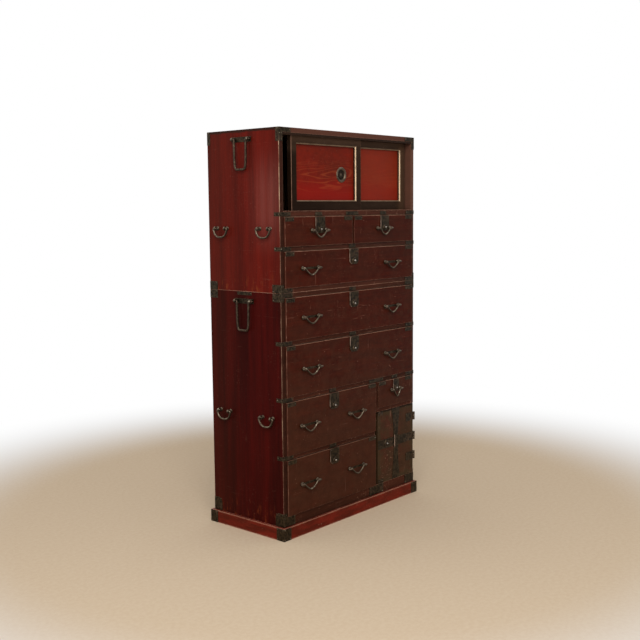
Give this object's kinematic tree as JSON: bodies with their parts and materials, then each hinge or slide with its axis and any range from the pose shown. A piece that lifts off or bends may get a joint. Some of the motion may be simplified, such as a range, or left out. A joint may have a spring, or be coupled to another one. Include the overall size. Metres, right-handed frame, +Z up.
{
  "type": "tansu chest",
  "caption": "Stacked lacquered clothing chest with iron fittings: sliding doors above, drawers of several widths, a hinged safe door at the lower right and swinging bail handles.",
  "frame": {"origin": "floor level, under the middle of the whole part's box", "axes": "+Z up, -Y toward the viewer of the drawer fronts, +X to that viewer's right"},
  "size_m": [0.9558, 0.4534, 1.69],
  "materials": {
    "red_lacquer": "worn red lacquer",
    "dark_lacquer": "worn dark red lacquer",
    "front_lacquer": "worn brown-red lacquer",
    "black_lacquer": "black lacquer",
    "bright_lacquer": "bright red lacquer",
    "plinth_lacquer": "worn red-brown lacquer",
    "iron": "aged wrought iron"
  },
  "bodies": {
    "case": {"base_plinth": "plinth_lacquer", "lower_sides": "dark_lacquer", "lower_boards": "dark_lacquer", "lower_back": "dark_lacquer", "lower_shelves": "dark_lacquer", "lower_iron": "iron", "upper_sides": "red_lacquer", "upper_boards": "red_lacquer", "upper_back": "red_lacquer", "upper_shelves": "red_lacquer", "upper_iron": "iron"},
    "left_door": {"left_door_frame": "black_lacquer", "left_door_panel": "bright_lacquer", "left_door_pull": "iron"},
    "right_door": {"right_door_frame": "black_lacquer", "right_door_panel": "bright_lacquer", "right_door_pull": "iron"},
    "safe_door": {"safe_door": "front_lacquer", "safe_door_iron": "iron"},
    "drawer_a_left": {"drawer_a_left": "front_lacquer", "drawer_a_left_iron": "iron"},
    "drawer_a_right": {"drawer_a_right": "front_lacquer", "drawer_a_right_iron": "iron"},
    "drawer_b": {"drawer_b": "front_lacquer", "drawer_b_iron": "iron"},
    "drawer_c": {"drawer_c": "front_lacquer", "drawer_c_iron": "iron"},
    "drawer_d": {"drawer_d": "front_lacquer", "drawer_d_iron": "iron"},
    "drawer_e": {"drawer_e": "front_lacquer", "drawer_e_iron": "iron"},
    "drawer_f": {"drawer_f": "front_lacquer", "drawer_f_iron": "iron"},
    "drawer_g": {"drawer_g": "front_lacquer", "drawer_g_iron": "iron"},
    "bail_a_left": {"bail_a_left": "iron"},
    "bail_a_right": {"bail_a_right": "iron"},
    "bail_b_left": {"bail_b_left": "iron"},
    "bail_b_right": {"bail_b_right": "iron"},
    "bail_c_left": {"bail_c_left": "iron"},
    "bail_c_right": {"bail_c_right": "iron"},
    "bail_d_left": {"bail_d_left": "iron"},
    "bail_d_right": {"bail_d_right": "iron"},
    "bail_e_left": {"bail_e_left": "iron"},
    "bail_e_right": {"bail_e_right": "iron"},
    "bail_f_left": {"bail_f_left": "iron"},
    "bail_f_right": {"bail_f_right": "iron"},
    "bail_g": {"bail_g": "iron"},
    "carry_bail_upper_left": {"carry_bail_upper_left": "iron"},
    "carry_bail_upper_right": {"carry_bail_upper_right": "iron"},
    "carry_bail_lower_left": {"carry_bail_lower_left": "iron"},
    "carry_bail_lower_right": {"carry_bail_lower_right": "iron"},
    "side_handle_upper_left_front": {"side_handle_upper_left_front": "iron"},
    "side_handle_upper_left_rear": {"side_handle_upper_left_rear": "iron"},
    "side_handle_upper_right_front": {"side_handle_upper_right_front": "iron"},
    "side_handle_upper_right_rear": {"side_handle_upper_right_rear": "iron"},
    "side_handle_lower_left_front": {"side_handle_lower_left_front": "iron"},
    "side_handle_lower_left_rear": {"side_handle_lower_left_rear": "iron"},
    "side_handle_lower_right_front": {"side_handle_lower_right_front": "iron"},
    "side_handle_lower_right_rear": {"side_handle_lower_right_rear": "iron"}
  },
  "joints": [
    {"name": "left_door_slide", "type": "slide", "parent": "case", "child": "left_door", "axis": [1, 0, 0], "range_m": [-0.066, 0.354]},
    {"name": "right_door_slide", "type": "slide", "parent": "case", "child": "right_door", "axis": [1, 0, 0], "range_m": [-0.42, 0]},
    {"name": "safe_door_hinge", "type": "hinge", "parent": "case", "child": "safe_door", "pos_m": [0.461, -0.20279, 0.27865], "axis": [0, 0, 1], "range_deg": [0, 165]},
    {"name": "drawer_a_left_slide", "type": "slide", "parent": "case", "child": "drawer_a_left", "axis": [0, -1, 0], "range_m": [0, 0.32]},
    {"name": "drawer_a_right_slide", "type": "slide", "parent": "case", "child": "drawer_a_right", "axis": [0, -1, 0], "range_m": [0, 0.32]},
    {"name": "drawer_b_slide", "type": "slide", "parent": "case", "child": "drawer_b", "axis": [0, -1, 0], "range_m": [0, 0.32]},
    {"name": "drawer_c_slide", "type": "slide", "parent": "case", "child": "drawer_c", "axis": [0, -1, 0], "range_m": [0, 0.32]},
    {"name": "drawer_d_slide", "type": "slide", "parent": "case", "child": "drawer_d", "axis": [0, -1, 0], "range_m": [0, 0.32]},
    {"name": "drawer_e_slide", "type": "slide", "parent": "case", "child": "drawer_e", "axis": [0, -1, 0], "range_m": [0, 0.32]},
    {"name": "drawer_f_slide", "type": "slide", "parent": "case", "child": "drawer_f", "axis": [0, -1, 0], "range_m": [0, 0.32]},
    {"name": "drawer_g_slide", "type": "slide", "parent": "case", "child": "drawer_g", "axis": [0, -1, 0], "range_m": [0, 0.32]},
    {"name": "bail_a_left_swing", "type": "hinge", "parent": "drawer_a_left", "child": "bail_a_left", "pos_m": [-0.226, -0.22079, 1.2765], "axis": [-1, 0, 0], "range_deg": [0, 150]},
    {"name": "bail_a_right_swing", "type": "hinge", "parent": "drawer_a_right", "child": "bail_a_right", "pos_m": [0.216, -0.22079, 1.2765], "axis": [-1, 0, 0], "range_deg": [0, 150]},
    {"name": "bail_b_left_swing", "type": "hinge", "parent": "drawer_b", "child": "bail_b_left", "pos_m": [-0.2834, -0.22079, 1.12275], "axis": [-1, 0, 0], "range_deg": [0, 150]},
    {"name": "bail_b_right_swing", "type": "hinge", "parent": "drawer_b", "child": "bail_b_right", "pos_m": [0.2734, -0.22079, 1.12275], "axis": [-1, 0, 0], "range_deg": [0, 150]},
    {"name": "bail_c_left_swing", "type": "hinge", "parent": "drawer_c", "child": "bail_c_left", "pos_m": [-0.2834, -0.22079, 0.9205], "axis": [-1, 0, 0], "range_deg": [0, 150]},
    {"name": "bail_c_right_swing", "type": "hinge", "parent": "drawer_c", "child": "bail_c_right", "pos_m": [0.2734, -0.22079, 0.9205], "axis": [-1, 0, 0], "range_deg": [0, 150]},
    {"name": "bail_d_left_swing", "type": "hinge", "parent": "drawer_d", "child": "bail_d_left", "pos_m": [-0.2834, -0.22079, 0.7055], "axis": [-1, 0, 0], "range_deg": [0, 150]},
    {"name": "bail_d_right_swing", "type": "hinge", "parent": "drawer_d", "child": "bail_d_right", "pos_m": [0.2734, -0.22079, 0.7055], "axis": [-1, 0, 0], "range_deg": [0, 150]},
    {"name": "bail_e_left_swing", "type": "hinge", "parent": "drawer_e", "child": "bail_e_left", "pos_m": [-0.30088, -0.22079, 0.4675], "axis": [-1, 0, 0], "range_deg": [0, 150]},
    {"name": "bail_e_right_swing", "type": "hinge", "parent": "drawer_e", "child": "bail_e_right", "pos_m": [0.01288, -0.22079, 0.4675], "axis": [-1, 0, 0], "range_deg": [0, 150]},
    {"name": "bail_f_left_swing", "type": "hinge", "parent": "drawer_f", "child": "bail_f_left", "pos_m": [-0.30088, -0.22079, 0.218], "axis": [-1, 0, 0], "range_deg": [0, 150]},
    {"name": "bail_f_right_swing", "type": "hinge", "parent": "drawer_f", "child": "bail_f_right", "pos_m": [0.01288, -0.22079, 0.218], "axis": [-1, 0, 0], "range_deg": [0, 150]},
    {"name": "bail_g_swing", "type": "hinge", "parent": "drawer_g", "child": "bail_g", "pos_m": [0.306, -0.22079, 0.5275], "axis": [-1, 0, 0], "range_deg": [0, 150]},
    {"name": "carry_bail_upper_left_swing", "type": "hinge", "parent": "case", "child": "carry_bail_upper_left", "pos_m": [-0.4675, 0.00521, 1.65], "axis": [0, 1, 0], "range_deg": [0, 180]},
    {"name": "carry_bail_upper_right_swing", "type": "hinge", "parent": "case", "child": "carry_bail_upper_right", "pos_m": [0.4675, 0.00521, 1.65], "axis": [0, -1, 0], "range_deg": [0, 180]},
    {"name": "carry_bail_lower_left_swing", "type": "hinge", "parent": "case", "child": "carry_bail_lower_left", "pos_m": [-0.4675, 0.00521, 0.987], "axis": [0, 1, 0], "range_deg": [0, 180]},
    {"name": "carry_bail_lower_right_swing", "type": "hinge", "parent": "case", "child": "carry_bail_lower_right", "pos_m": [0.4675, 0.00521, 0.987], "axis": [0, -1, 0], "range_deg": [0, 180]},
    {"name": "side_handle_upper_left_front_swing", "type": "hinge", "parent": "case", "child": "side_handle_upper_left_front", "pos_m": [-0.47, -0.11979, 1.287], "axis": [0, 1, 0], "range_deg": [0, 150]},
    {"name": "side_handle_upper_left_rear_swing", "type": "hinge", "parent": "case", "child": "side_handle_upper_left_rear", "pos_m": [-0.47, 0.13021, 1.287], "axis": [0, 1, 0], "range_deg": [0, 150]},
    {"name": "side_handle_upper_right_front_swing", "type": "hinge", "parent": "case", "child": "side_handle_upper_right_front", "pos_m": [0.47, -0.11979, 1.287], "axis": [0, -1, 0], "range_deg": [0, 150]},
    {"name": "side_handle_upper_right_rear_swing", "type": "hinge", "parent": "case", "child": "side_handle_upper_right_rear", "pos_m": [0.47, 0.13021, 1.287], "axis": [0, -1, 0], "range_deg": [0, 150]},
    {"name": "side_handle_lower_left_front_swing", "type": "hinge", "parent": "case", "child": "side_handle_lower_left_front", "pos_m": [-0.47, -0.11979, 0.508], "axis": [0, 1, 0], "range_deg": [0, 150]},
    {"name": "side_handle_lower_left_rear_swing", "type": "hinge", "parent": "case", "child": "side_handle_lower_left_rear", "pos_m": [-0.47, 0.13021, 0.508], "axis": [0, 1, 0], "range_deg": [0, 150]},
    {"name": "side_handle_lower_right_front_swing", "type": "hinge", "parent": "case", "child": "side_handle_lower_right_front", "pos_m": [0.47, -0.11979, 0.508], "axis": [0, -1, 0], "range_deg": [0, 150]},
    {"name": "side_handle_lower_right_rear_swing", "type": "hinge", "parent": "case", "child": "side_handle_lower_right_rear", "pos_m": [0.47, 0.13021, 0.508], "axis": [0, -1, 0], "range_deg": [0, 150]}
  ]
}
